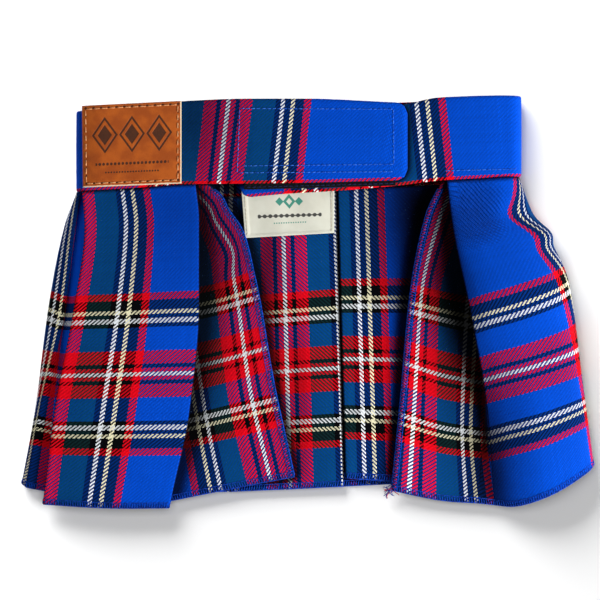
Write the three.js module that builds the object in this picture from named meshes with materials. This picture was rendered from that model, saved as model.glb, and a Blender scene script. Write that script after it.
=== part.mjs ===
// A small pleated tartan skirt for a pet, lying on its back on a table.
// The frame: X to the right, Y from the hem towards the waistband, Z up from the table.
// The origin is on the table, under the middle of the skirt. All sizes are in millimetres.
import * as THREE from 'three';
import { mergeVertices } from 'three/addons/utils/BufferGeometryUtils.js';

// Cloth and trimmings
const clothThickness = 1.2;
const layerPitch = 1.6; // from the middle of one pleat layer to the next
const bandThickness = 2.2; // two layers of cloth and a stiffener
const tapeThickness = 0.6;
const leatherThickness = 1.3;
const labelThickness = 1.0;
const pieceGap = 0.3; // between pieces that touch
const seamGap = 0.45; // between the waistband's lower edge and the pleats

// The pleats
const foldRadius = layerPitch / 2;
const outerFoldHeight = clothThickness / 2 + foldRadius; // folds of the layer on the table
const innerFoldHeight = outerFoldHeight + layerPitch; // folds of the layer above them
const jointGap = 1.6; // between two pleats that meet edge to edge
const levels = [0, 0.12, 0.38, 0.7, 1]; // seam, hip, upper, lower and hem, as shares of the drop
const stepsPerSpan = 4; // columns between two bends of a curved panel
const flatSteps = 3; // columns across a flat panel
const skirtRows = [0, 0.06, 0.12, 0.2, 0.29, 0.38, 0.48, 0.59, 0.7, 0.8, 0.9, 1];

// The waistband's path, from the free end of its tab round to the end of its underlap.
// x and z are the middle of its cloth; top and bottom are the Y of its two edges.
const bandPath = [
  { at: 'tab end', x: 54.5, z: 16.0, top: 108.5, bottom: 66.5 },
  { at: 'tab crease', x: 47, z: 16.4, top: 109, bottom: 66.2 },
  { at: 'tab middle', x: 0, z: 16.4, top: 111, bottom: 65 },
  { at: 'tab root', x: -34, z: 16.3, top: 111, bottom: 64.5 },
  { at: 'behind the tab', x: -64, z: 13.4, top: 110, bottom: 64.3 },
  { at: 'under the patch', x: -98, z: 13.2, top: 106.5, bottom: 62 },
  { at: 'left front', x: -116, z: 13.2, top: 105, bottom: 61 },
  { at: 'left upper corner', x: -124.3, z: 11.8, top: 104.5, bottom: 60.3 },
  { at: 'left side', x: -126.1, z: 7.2, top: 104.3, bottom: 60.1 },
  { at: 'left lower corner', x: -124.3, z: 2.6, top: 104.3, bottom: 60 },
  { at: 'left back', x: -116, z: 1.1, top: 104.5, bottom: 59.5 },
  { at: 'back, outer left', x: -79, z: 1.1, top: 105.5, bottom: 57.8 },
  { at: 'back, inner left', x: -43, z: 1.1, top: 106.5, bottom: 57.6 },
  { at: 'back, inner right', x: 15.5, z: 1.1, top: 108, bottom: 62 },
  { at: 'back, outer right', x: 78, z: 1.1, top: 110.5, bottom: 64.5 },
  { at: 'right back', x: 106, z: 1.1, top: 111.8, bottom: 67 },
  { at: 'right lower corner', x: 114.3, z: 2.6, top: 112.2, bottom: 67.8 },
  { at: 'right side', x: 116, z: 7.2, top: 112.5, bottom: 68.4 },
  { at: 'right upper corner', x: 114.3, z: 11.8, top: 112.7, bottom: 68.4 },
  { at: 'right front', x: 106, z: 13.2, top: 112.9, bottom: 68 },
  { at: 'front, by the tab', x: 72.5, z: 12.9, top: 111.8, bottom: 66.3 },
  { at: 'underlap, at the tab end', x: 50.5, z: 12.2, top: 107.5, bottom: 63.6 },
  { at: 'underlap, middle', x: 14, z: 12.1, top: 104, bottom: 60.5 },
  { at: 'underlap, inner part', x: -11, z: 12.1, top: 102.5, bottom: 59 },
  { at: 'underlap end', x: -37.5, z: 12.1, top: 100.5, bottom: 56.6 },
];
const bandStepsPerSpan = 3;
const sideHeight = 7.2; // half way up the band's sides
const sideBottoms = { left: 60.1, right: 68.4 }; // the band's lower edge at its two sides
const tabCorner = { radius: 4.5, steps: 4 };
const underlapCorner = { radius: 6, steps: 4 };

// The fastening tapes lie between the tab and the underlap.
const tape = { left: -35, right: 48, top: 101, bottom: 63.2, endTop: 98, endBottom: 61 };
const patch = {
  corners: { left: -123.6, right: -69.3 },
  leftTop: 107, leftBottom: 62.8, rightTop: 109.8, rightBottom: 64.6,
};
const label = { left: -36.6, right: 14.3, top: 63.5, leftBottom: 35.6, rightBottom: 38 };

// Front and side folds of the skirt, from its left front edge round the left side.
// x and z are given at the five levels, y at the four below the seam.
// A ridge has the right side of the cloth outside; at a valley it lies inside.
const leftFolds = [
  { name: 'left front edge', kind: 'edge', x: [-54.5, -41, -28.5, -19, -7.5],
    y: [48.5, 7.5, -45, -96], z: [10.8, 9.6, 8.2, 7.6, 7.8] },
  { name: 'left front roll', kind: 'bend', x: [-76, -56.5, -49, -42.5, -31.5],
    y: [40.5, 1.5, -51, -100.5], z: [10.8, 8, 6.4, 6.4, 6.8] },
  { name: 'left inner fold', kind: 'valley', x: [-93, -92, -85, -81.5, -84],
    y: [40.5, -4, -60, -111], z: [10.8, 8.4, 7, 6.8, 6.8] },
  { name: 'front pleat, right fold', kind: 'ridge', x: [-62, -60, -60, -65, -76.5],
    y: [41.5, -4, -59.5, -113], z: [12.4, 12.8, 12.8, 12, 10.5] },
  { name: 'front pleat, middle', kind: 'bend', x: [-93, -91.5, -93.5, -101.5, -110],
    y: [41, -4, -59.5, -113], z: [12.4, 13.2, 13.4, 12.8, 11.3] },
  { name: 'front pleat, left fold', kind: 'ridge', x: [-123.7, -123.5, -128, -138.5, -145],
    y: [40.5, -4, -59.5, -111], z: [12.4, 11.8, 11.2, 10.2, 9.2] },
  { name: 'fold under the front pleat', kind: 'valley', x: [-98.5, -98.5, -99.5, -100, -101],
    y: [40.5, -4, -59.5, -109], z: [10.8, 9.6, 9, 8.6, 8.2] },
  { name: 'side underlay', kind: 'bend', x: [-120.5, -121.5, -124, -120, -120],
    y: [40.5, -4, -59, -106.5], z: [9.6, 8.4, 7.8, 7.8, 7] },
  { name: 'side inner fold', kind: 'valley', x: [-123.7, -125.5, -130.5, -135.5, -143],
    y: [40.5, -4, -59, -104], z: [5.2, 5.2, 5, 6.6, 5.6], closed: [1, 1, 1, 0, 0] },
  { name: 'side pleat fold', kind: 'ridge', x: [-125.3, -127.5, -132, -145, -154],
    y: [41, -4, -57, -102], z: [9.9, 9.8, 9.2, 6.8, 5.2], closed: [1, 1, 1, 0, 0] },
  { name: 'left side', kind: 'bend', x: [-125.4, -131, -139.5, -148, -156],
    y: [41.5, -1, -58.5, -100], z: [5.5, 5.5, 4.8, 4, 3.6] },
  { name: 'left underside', kind: 'bend', x: [-121.5, -126, -134, -143, -150.5],
    y: [40.5, -3.5, -59.5, -101], z: [1.4, 1.4, 1.4, 1.4, 1.4] },
];

// The same for the right side, from under it round to the right front edge.
const rightFolds = [
  { name: 'right underside', kind: 'bend', x: [111.5, 118.5, 136, 144.5, 151],
    y: [47, 10.5, -47.5, -91], z: [1.4, 1.4, 1.4, 1.4, 1.4] },
  { name: 'right side', kind: 'bend', x: [115.2, 123, 141, 149.5, 155.5],
    y: [47.5, 13.5, -45.5, -89.5], z: [7, 9, 11, 9.5, 7.5] },
  { name: 'right shoulder', kind: 'bend', x: [109, 107.5, 130.5, 142.5, 149.5],
    y: [46.5, 8, -48.5, -95], z: [12.4, 13.5, 20.5, 17.5, 12.5] },
  { name: 'right crest', kind: 'bend', x: [91, 93, 111.5, 124.5, 131.5],
    y: [45, 2, -54, -105.5], z: [12.4, 15.5, 22.5, 21, 16] },
  { name: 'right trough', kind: 'bend', x: [82, 84.5, 97, 105.5, 110],
    y: [43.5, -2.5, -59, -112], z: [12.4, 15, 19.5, 13, 5.6] },
  { name: 'right pleat fold', kind: 'ridge', x: [76.5, 79.5, 89.5, 99, 102.5],
    y: [43.5, -5, -61.5, -111.5], z: [12.4, 14, 16.5, 12.5, 6.8], closed: [1, 1, 1, 0.6, 0] },
  { name: 'right inner fold', kind: 'valley', x: [109.5, 104.5, 100, 96.5, 93.5],
    y: [42.5, -7, -63, -110.5], z: [10.8, 8.8, 7.8, 6.8, 6.2], closed: [1, 1, 1, 0.5, 0] },
  { name: 'right front roll', kind: 'bend', x: [91.5, 83.5, 74, 73, 73],
    y: [45.5, -1, -59, -109], z: [10.8, 8.6, 6.8, 6.4, 6.2] },
  { name: 'right front edge', kind: 'edge', x: [73.5, 64.5, 56, 51, 46],
    y: [48.5, 4, -51.5, -103.5], z: [10.8, 10.2, 9.2, 8.2, 7.4] },
];

// Where back pleats meet edge to edge: X at the seam and at the hem, and the hem's Y on each side.
const outerJoints = [
  { seam: -78.7, hem: -80.3, hemLeft: -104.8, hemRight: -104.8 },
  { seam: -16, hem: -12.7, hemLeft: -103, hemRight: -103 },
  { seam: 49.8, hem: 53.9, hemLeft: -99.6, hemRight: -99.6 },
  { seam: 102, hem: 139.4, hemLeft: -96, hemRight: -96 },
];
const innerJoints = [
  { seam: -110.8, hem: -115.2, hemLeft: -104, hemRight: -104 },
  { seam: -47.3, hem: -44, hemLeft: -104.2, hemRight: -104.2 },
  { seam: 15.7, hem: 20, hemLeft: -101.3, hemRight: -96.8 },
  { seam: 80, hem: 86.9, hemLeft: -100.4, hemRight: -100.4 },
  { seam: 109.5, hem: 150.5, hemLeft: -92, hemRight: -92 },
];

// Piecewise cubic through the values at the given stations, with no overshoot.
function smoothAt(stations, values, at) {
  const last = stations.length - 1;
  const slope = stations.map((_, i) => {
    if (i === 0 || i === last) return 0;
    const before = (values[i] - values[i - 1]) / (stations[i] - stations[i - 1]);
    const after = (values[i + 1] - values[i]) / (stations[i + 1] - stations[i]);
    return before * after <= 0 ? 0 : (2 * before * after) / (before + after);
  });
  slope[0] = (values[1] - values[0]) / (stations[1] - stations[0]);
  slope[last] = (values[last] - values[last - 1]) / (stations[last] - stations[last - 1]);
  let i = 0;
  while (i < last - 1 && at > stations[i + 1]) i += 1;
  const width = stations[i + 1] - stations[i];
  const t = (at - stations[i]) / width;
  const rise = t * t * (3 - 2 * t);
  const lead = t * (1 - t) * (1 - t) * width * slope[i];
  const trail = t * t * (t - 1) * width * slope[i + 1];
  return values[i] + (values[i + 1] - values[i]) * rise + lead + trail;
}

// A closed wall of even thickness about a grid of points: columns along the cloth, rows down it.
function wallGeometry(columns, thickness) {
  const rows = columns[0].length;
  const faces = [[], []];
  columns.forEach((column, i) => {
    column.forEach((point, j) => {
      const along = bisector(columns[i - 1]?.[j], point, columns[i + 1]?.[j]);
      const down = bisector(column[j - 1], point, column[j + 1]);
      const normal = new THREE.Vector3().crossVectors(along.direction, down.direction).normalize();
      const reach = (thickness / 2) * along.stretch * down.stretch;
      faces[0].push(point.clone().addScaledVector(normal, reach));
      faces[1].push(point.clone().addScaledVector(normal, -reach));
    });
  });
  const corner = (side, i, j) => side * columns.length * rows + i * rows + j;
  const triangles = [];
  const quad = (a, b, c, d) => triangles.push(a, b, c, a, c, d);
  for (let i = 0; i < columns.length - 1; i += 1) {
    for (let j = 0; j < rows - 1; j += 1) {
      quad(corner(0, i, j), corner(0, i + 1, j), corner(0, i + 1, j + 1), corner(0, i, j + 1));
      quad(corner(1, i, j), corner(1, i, j + 1), corner(1, i + 1, j + 1), corner(1, i + 1, j));
    }
    const end = rows - 1;
    quad(corner(0, i, 0), corner(1, i, 0), corner(1, i + 1, 0), corner(0, i + 1, 0));
    quad(corner(0, i, end), corner(0, i + 1, end), corner(1, i + 1, end), corner(1, i, end));
  }
  const last = columns.length - 1;
  for (let j = 0; j < rows - 1; j += 1) {
    quad(corner(0, 0, j), corner(0, 0, j + 1), corner(1, 0, j + 1), corner(1, 0, j));
    quad(corner(0, last, j), corner(1, last, j), corner(1, last, j + 1), corner(0, last, j + 1));
  }
  const geometry = new THREE.BufferGeometry().setFromPoints([...faces[0], ...faces[1]]);
  geometry.setIndex(triangles);
  const merged = mergeVertices(geometry, 1e-5);
  merged.computeVertexNormals();
  return merged;
}

// The direction of a line through a point, and how much a corner there stretches a miter.
function bisector(before, point, after) {
  const steps = [];
  if (before) steps.push(point.clone().sub(before).normalize());
  if (after) steps.push(after.clone().sub(point).normalize());
  const direction = steps.reduce((sum, step) => sum.add(step), new THREE.Vector3()).normalize();
  return { direction, stretch: 1 / Math.max(0.8, direction.dot(steps[0])) };
}

// ---- the waistband ----

function bandSample(stations, position) {
  const index = stations.map((_, i) => i);
  const value = (key) => smoothAt(index, stations.map((row) => row[key]), position);
  const curve = new THREE.CatmullRomCurve3(
    stations.map((row) => new THREE.Vector3(row.x, 0, row.z)), false, 'centripetal',
  );
  const point = curve.getPoint(position / (stations.length - 1));
  return {
    x: point.x,
    z: Math.max(point.z, bandThickness / 2),
    top: value('top'),
    bottom: value('bottom'),
  };
}

// Stations near a rounded end, from the end inwards, with the width drawn in by the corners.
function roundedEnd(end, inward, corner) {
  const drawn = [];
  for (let i = 0; i < corner.steps; i += 1) {
    const turn = (i / corner.steps) * (Math.PI / 2);
    const share = (corner.radius * (1 - Math.cos(turn))) / Math.abs(inward.x - end.x);
    const inset = corner.radius * (1 - Math.sin(turn)) * (i === 0 ? 0.9 : 1);
    drawn.push({
      x: end.x + (inward.x - end.x) * share,
      z: end.z + (inward.z - end.z) * share,
      top: end.top + (inward.top - end.top) * share - inset,
      bottom: end.bottom + (inward.bottom - end.bottom) * share + inset,
    });
  }
  return drawn;
}

function bandStations() {
  const stations = [];
  const spans = bandPath.length - 1;
  for (let i = 1; i < spans; i += 1) {
    const straight = Math.abs(bandPath[i + 1].x - bandPath[i].x) > 15;
    const steps = straight && bandPath[i].z === bandPath[i + 1].z ? 2 : bandStepsPerSpan;
    for (let k = 0; k < steps && i < spans - 1; k += 1) {
      stations.push(bandSample(bandPath, i + k / steps));
    }
  }
  stations.push(bandPath[spans - 1]);
  const start = roundedEnd(bandPath[0], bandPath[1], tabCorner);
  const finish = roundedEnd(bandPath[spans], bandPath[spans - 1], underlapCorner).reverse();
  return [...start, ...stations, ...finish];
}

function waistband() {
  const columns = bandStations().map((row) => {
    const middle = (row.top + row.bottom) / 2;
    return [row.top, middle, row.bottom].map((y) => new THREE.Vector3(row.x, y, row.z));
  });
  return wallGeometry(columns, bandThickness);
}

// The height of the band's middle at x, on its front from the tab to the left side.
function tabHeight(x) {
  const run = bandStations().filter((row, i, all) => i < all.length / 2 && row.z > 9);
  let i = 0;
  while (i < run.length - 2 && x < run[i + 1].x) i += 1;
  const share = (run[i].x - x) / (run[i].x - run[i + 1].x);
  return run[i].z + (run[i + 1].z - run[i].z) * share;
}

// A flat piece that lies on the front of the band, its corners given as Y at each end.
function pieceOnFront(left, right, steps, edges, height, thickness) {
  const columns = [];
  for (let i = 0; i <= steps; i += 1) {
    const share = i / steps;
    const x = right + (left - right) * share;
    const top = edges.rightTop + (edges.leftTop - edges.rightTop) * share;
    const bottom = edges.rightBottom + (edges.leftBottom - edges.rightBottom) * share;
    columns.push([top, bottom].map((y) => new THREE.Vector3(x, y, height(x))));
  }
  return wallGeometry(columns, thickness);
}

function leatherPatch() {
  const rise = bandThickness / 2 + pieceGap + leatherThickness / 2;
  const { left, right } = patch.corners;
  return pieceOnFront(left, right, 2, patch, () => tabHeight(right) + rise, leatherThickness);
}

const tapeEdges = {
  rightTop: tape.top, rightBottom: tape.bottom, leftTop: tape.endTop, leftBottom: tape.endBottom,
};

function hookTape() {
  const drop = bandThickness / 2 + pieceGap + tapeThickness / 2;
  const height = (x) => tabHeight(x) - drop;
  return pieceOnFront(tape.left, tape.right, 4, tapeEdges, height, tapeThickness);
}

function loopTape() {
  const underlap = bandPath[bandPath.length - 1];
  const rise = bandThickness / 2 + pieceGap + tapeThickness / 2;
  const height = () => underlap.z + rise;
  return pieceOnFront(tape.left, tape.right, 2, tapeEdges, height, tapeThickness);
}

function wovenLabel() {
  const layers = innerFoldHeight + foldRadius + clothThickness / 2;
  const height = () => layers + pieceGap + labelThickness / 2;
  const edges = {
    rightTop: label.top, rightBottom: label.rightBottom,
    leftTop: label.top, leftBottom: label.leftBottom,
  };
  return pieceOnFront(label.left, label.right, 4, edges, height, labelThickness);
}

// ---- the skirt ----

// The band's stations on its back, and on its front beside each side.
function bandRuns() {
  const rows = bandStations();
  const front = rows.map((row) => row.z > sideHeight);
  const firstBack = front.indexOf(false);
  const lastBack = front.lastIndexOf(false);
  return {
    left: rows.slice(0, firstBack + 1),
    back: rows.slice(firstBack - 1, lastBack + 2),
    right: rows.slice(lastBack),
  };
}

// Where the pleats begin at a point's place: just under the band's lower edge.
function seamAt(runs, point) {
  const front = point.x < 0 ? runs.left : runs.right;
  const run = point.z > sideHeight ? front : runs.back;
  const i = run.findIndex((row, k) => k > 0 && (row.x - point.x) * (run[k - 1].x - point.x) <= 0);
  if (i < 0) return (point.x < 0 ? sideBottoms.left : sideBottoms.right) - seamGap;
  const share = (point.x - run[i - 1].x) / (run[i].x - run[i - 1].x || 1);
  return run[i - 1].bottom + (run[i].bottom - run[i - 1].bottom) * share - seamGap;
}

function frontFold(fold) {
  const seam = (fold.x[0] < 0 ? sideBottoms.left : sideBottoms.right) - seamGap;
  return { closed: [1, 1, 1, 1, 1], ...fold, y: [seam, ...fold.y] };
}

// A fold of the flat back, straight from the seam to the hem.
function backFold(kind, joint, side) {
  const offset = (side * jointGap) / 2;
  const seam = joint.seam + offset;
  const hem = joint.hem + offset;
  const seamY = sideBottoms.left - seamGap;
  const hemY = side < 0 ? joint.hemLeft : joint.hemRight;
  const height = kind === 'ridge' ? outerFoldHeight : innerFoldHeight;
  return {
    kind,
    x: levels.map((level) => seam + (hem - seam) * level),
    y: levels.map((level) => seamY + (hemY - seamY) * level),
    z: levels.map(() => height),
    closed: levels.map(() => 1),
  };
}

function backFolds() {
  const folds = outerJoints.flatMap((joint, i) => [
    backFold('ridge', joint, -1),
    backFold('valley', innerJoints[i], 1),
    backFold('valley', innerJoints[i + 1], -1),
    backFold('ridge', joint, 1),
  ]);
  folds[0].parted = true; // the hidden layers where the strip is parted into three
  folds[folds.length - 2].parted = true;
  return folds;
}

function allFolds() {
  return [
    ...leftFolds.map(frontFold),
    ...backFolds(),
    ...rightFolds.map(frontFold),
  ];
}

// The panels between folds. Each has its folds and bends, and the side its ends turn to.
function skirtPanels() {
  const turnOf = { ridge: 1, valley: -1 };
  const panels = [];
  let current = [];
  allFolds().forEach((fold) => {
    current.push(fold);
    if (fold.kind !== 'bend' && current.length > 1) {
      panels.push({ folds: current });
      current = [fold];
    }
  });
  panels.forEach((panel) => {
    const ends = [panel.folds[0], panel.folds[panel.folds.length - 1]];
    const turns = ends.map((fold) => turnOf[fold.kind]);
    panel.turns = [turns[0] ?? turns[1], turns[1] ?? turns[0]];
    panel.rounded = ends.map((fold) => fold.kind !== 'edge');
  });
  return panels;
}

function foldPoint(fold, row) {
  const [x, y, z] = ['x', 'y', 'z'].map((key) => smoothAt(levels, fold[key], row));
  return new THREE.Vector3(x, y, z);
}

// The right side's direction where the cloth runs along a direction.
function rightSide(direction) {
  return new THREE.Vector3(direction.z, 0, -direction.x).normalize();
}

// One panel at one row: its middle line before the folds are rounded.
function panelLine(panel, row) {
  const points = panel.folds.map((fold) => foldPoint(fold, row));
  const curve = new THREE.CatmullRomCurve3(points, false, 'centripetal');
  return {
    curve,
    start: points[0],
    end: points[points.length - 1],
    closed: [panel.folds[0], panel.folds[panel.folds.length - 1]].map((fold) =>
      smoothAt(levels, fold.closed, row)),
    firstSpan: points[0].distanceTo(points[1]),
    lastSpan: points[points.length - 1].distanceTo(points[points.length - 2]),
  };
}

// A quarter circle that draws a layer in to its fold.
function foldArc(distance) {
  const left = 1 - Math.min(distance / foldRadius, 1);
  return Math.sqrt(1 - left * left);
}

function panelPoint(panel, line, share, openNormals) {
  const point = line.curve.getPoint(share);
  const normal = rightSide(line.curve.getTangent(share));
  const shift = new THREE.Vector3();
  [line.start, line.end].forEach((end, i) => {
    const weight = i === 0 ? 1 - share : share;
    const arc = panel.rounded[i] ? foldArc(point.distanceTo(end)) : 1;
    const reach = panel.turns[i] * foldRadius * weight;
    shift.addScaledVector(normal, reach * arc);
    shift.addScaledVector(openNormals[i], reach * (1 - arc) * (1 - line.closed[i]));
  });
  point.add(shift);
  point.z = Math.max(point.z, clothThickness / 2); // flat where it rests on the table
  return point;
}

// Where along a panel its columns stand: close together at the folds, even between them.
function panelShares(panel, line) {
  const spans = panel.folds.length - 1;
  const near = [0, foldRadius * (1 - Math.SQRT1_2), foldRadius];
  const shares = new Set([0, 1]);
  if (panel.rounded[0]) near.forEach((d) => shares.add(d / line.firstSpan / spans));
  if (panel.rounded[1]) near.forEach((d) => shares.add(1 - d / line.lastSpan / spans));
  if (panel.folds[0].parted) {
    const halfGap = pieceGap / 2 / line.firstSpan;
    shares.add(0.5 - halfGap).add(0.5 + halfGap);
  }
  const inner = spans === 1 ? flatSteps : spans * stepsPerSpan;
  for (let i = 1; i < inner; i += 1) shares.add(i / inner);
  return [...shares].sort((a, b) => a - b);
}

// The skirt's grid, in three pieces: each is a list of columns with a point for each row.
function skirtPieces() {
  const panels = skirtPanels();
  const rowLines = skirtRows.map((row) => panels.map((panel) => panelLine(panel, row)));
  const openNormal = (lines, i) => {
    const before = lines[i - 1]?.curve.getTangent(1);
    const after = lines[i]?.curve.getTangent(0);
    return rightSide(new THREE.Vector3().add(before ?? after).add(after ?? before));
  };
  const runs = bandRuns();
  const pieces = [[]];
  panels.forEach((panel, i) => {
    const shares = rowLines.map((lines) => panelShares(panel, lines[i]));
    let parted = !panel.folds[0].parted;
    shares[0].forEach((share, k) => {
      if (i > 0 && k === 0) return;
      if (!parted && share > 0.5) {
        pieces.push([]);
        parted = true;
      }
      const column = rowLines.map((lines, r) => {
        const normals = [openNormal(lines, i), openNormal(lines, i + 1)];
        return panelPoint(panel, lines[i], shares[r][k], normals);
      });
      const lift = seamAt(runs, column[0]) - column[0].y;
      column.forEach((point, r) => { point.y += lift * (1 - skirtRows[r]); });
      pieces[pieces.length - 1].push(column);
    });
  });
  return pieces;
}

// ---- the object ----

const finishes = {
  tartan: { color: 0x123c8c, roughness: 0.9, metalness: 0 },
  leather: { color: 0xb05a1e, roughness: 0.6, metalness: 0 },
  tape: { color: 0x101114, roughness: 0.95, metalness: 0 },
  label: { color: 0xe8e2d0, roughness: 0.8, metalness: 0 },
};

function part(name, geometry, finish) {
  const mesh = new THREE.Mesh(geometry, new THREE.MeshStandardMaterial(finishes[finish]));
  mesh.name = name;
  return mesh;
}

const skirt = new THREE.Group();
const skirtNames = ['skirt_left_front', 'skirt_back', 'skirt_right_front'];
skirtPieces().forEach((columns, i) => {
  skirt.add(part(skirtNames[i], wallGeometry(columns, clothThickness), 'tartan'));
});
skirt.add(part('waistband', waistband(), 'tartan'));
skirt.add(part('hook_tape', hookTape(), 'tape'));
skirt.add(part('loop_tape', loopTape(), 'tape'));
skirt.add(part('leather_patch', leatherPatch(), 'leather'));
skirt.add(part('label', wovenLabel(), 'label'));

// Set the origin on the table, under the middle of the whole skirt.
const extent = new THREE.Box3().setFromObject(skirt);
const middle = extent.getCenter(new THREE.Vector3());
skirt.children.forEach((mesh) => mesh.geometry.translate(-middle.x, -middle.y, -extent.min.z));

export default skirt;
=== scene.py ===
import math
import random

import bpy
import numpy as np
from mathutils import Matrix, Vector, noise
from mathutils.bvhtree import BVHTree


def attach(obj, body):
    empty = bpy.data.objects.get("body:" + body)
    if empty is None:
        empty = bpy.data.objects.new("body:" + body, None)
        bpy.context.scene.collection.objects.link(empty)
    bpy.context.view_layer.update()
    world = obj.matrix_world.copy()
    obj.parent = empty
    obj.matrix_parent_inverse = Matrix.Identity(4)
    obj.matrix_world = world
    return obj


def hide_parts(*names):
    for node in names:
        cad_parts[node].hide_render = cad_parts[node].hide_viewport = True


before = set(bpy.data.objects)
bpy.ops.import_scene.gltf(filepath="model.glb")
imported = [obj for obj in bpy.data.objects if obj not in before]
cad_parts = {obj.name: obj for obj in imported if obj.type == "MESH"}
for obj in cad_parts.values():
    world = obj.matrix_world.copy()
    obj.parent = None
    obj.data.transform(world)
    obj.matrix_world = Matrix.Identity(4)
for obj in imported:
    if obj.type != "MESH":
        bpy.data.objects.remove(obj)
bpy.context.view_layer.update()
scene = bpy.context.scene
mm = 0.001
shift = np.array((0.241, 0.128, 0.0))  # mm from the pattern tables' origin to the part's


class Val:
    # one socket, so that shader maths reads as plain expressions
    def __init__(self, shader, socket):
        self.shader, self.socket = shader, socket

    def math(self, operation, *others):
        values = dict(enumerate((self,) + others))
        return self.shader.node("ShaderNodeMath", {"operation": operation}, values)

    def flipped(self, operation, other):
        return self.shader.node("ShaderNodeMath", {"operation": operation}, {0: other, 1: self})

    def __add__(self, other): return self.math("ADD", other)
    def __radd__(self, other): return self.math("ADD", other)
    def __sub__(self, other): return self.math("SUBTRACT", other)
    def __rsub__(self, other): return self.flipped("SUBTRACT", other)
    def __mul__(self, other): return self.math("MULTIPLY", other)
    def __rmul__(self, other): return self.math("MULTIPLY", other)
    def __truediv__(self, other): return self.math("DIVIDE", other)
    def __rtruediv__(self, other): return self.flipped("DIVIDE", other)
    def __mod__(self, other): return self.math("FLOORED_MODULO", other)
    def __pow__(self, other): return self.math("POWER", other)
    def __neg__(self): return self.math("MULTIPLY", -1)
    def __lt__(self, other): return self.math("LESS_THAN", other)
    def __gt__(self, other): return self.math("GREATER_THAN", other)
    def __abs__(self): return self.math("ABSOLUTE")


def linear(colour):
    # 0-255 screen colour to linear, with alpha
    def channel(c):
        c = c / 255
        return c / 12.92 if c <= 0.04045 else ((c + 0.055) / 1.055) ** 2.4
    return (*[channel(c) for c in colour], 1.0)


class Shader:
    def __init__(self, name):
        self.material = bpy.data.materials.new(name)
        self.material.use_nodes = True
        self.tree = self.material.node_tree
        self.tree.nodes.clear()

    def node(self, kind, settings=None, values=None, out=0):
        made = self.tree.nodes.new(kind)
        for key, setting in (settings or {}).items():
            if key == "stops":
                self.fillRamp(made.color_ramp, setting)
            else:
                setattr(made, key, setting)
        for key, value in (values or {}).items():
            if isinstance(value, Val):
                self.tree.links.new(value.socket, made.inputs[key])
            else:
                made.inputs[key].default_value = value
        return Val(self, made.outputs[out]) if made.outputs else made

    def fillRamp(self, ramp, stops):
        ramp.interpolation = "CONSTANT"
        while len(ramp.elements) > 1:
            ramp.elements.remove(ramp.elements[-1])
        ramp.elements[0].position, ramp.elements[0].color = stops[0]
        for place, colour in stops[1:]:
            ramp.elements.new(place).color = colour

    def mix(self, factor, one, other, blend="MIX"):
        settings = {"data_type": "RGBA", "blend_type": blend}
        return self.node("ShaderNodeMix", settings, {0: factor, 6: one, 7: other}, out=2)

    def gamma(self, colour, power):
        return self.node("ShaderNodeGamma", None, {0: colour, 1: power})

    def channel(self, colour, which):
        return self.node("ShaderNodeSeparateColor", None, {0: colour}, out=which)

    def dim(self, colour, tone):
        grey = self.node("ShaderNodeCombineXYZ", None, {0: tone, 1: tone, 2: tone})
        return self.mix(1.0, colour, grey, "MULTIPLY")

    def place(self):
        return self.node("ShaderNodeTexCoord", out="Object")

    def cloudy(self, scale, detail=2.0):
        values = {"Vector": self.place(), "Scale": scale, "Detail": detail}
        return self.node("ShaderNodeTexNoise", None, values)

    def between(self, value, low, high):
        # 0 below low, 1 above high, smooth between
        settings = {"interpolation_type": "SMOOTHSTEP"}
        return self.node("ShaderNodeMapRange", settings, {0: value, 1: low, 2: high})

    def uv(self, name):
        # a UV map in metres, read in mm
        flat = self.node("ShaderNodeUVMap", {"uv_map": name})
        return [self.node("ShaderNodeSeparateXYZ", None, {0: flat}, out=k) * 1000 for k in (0, 1)]

    def finish(self, colour, roughness, height=None, depth=0.1, sheen=0.0, shine=0.5):
        values = {"Base Color": colour, "Roughness": roughness, "Sheen Weight": sheen,
                  "Specular IOR Level": shine}
        if height is not None:
            values["Normal"] = self.node("ShaderNodeBump", None, {
                "Strength": 1.0, "Distance": depth * mm, "Height": height})
        surface = self.node("ShaderNodeBsdfPrincipled", None, values)
        self.node("ShaderNodeOutputMaterial", None, {"Surface": surface})
        return self.material


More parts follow.
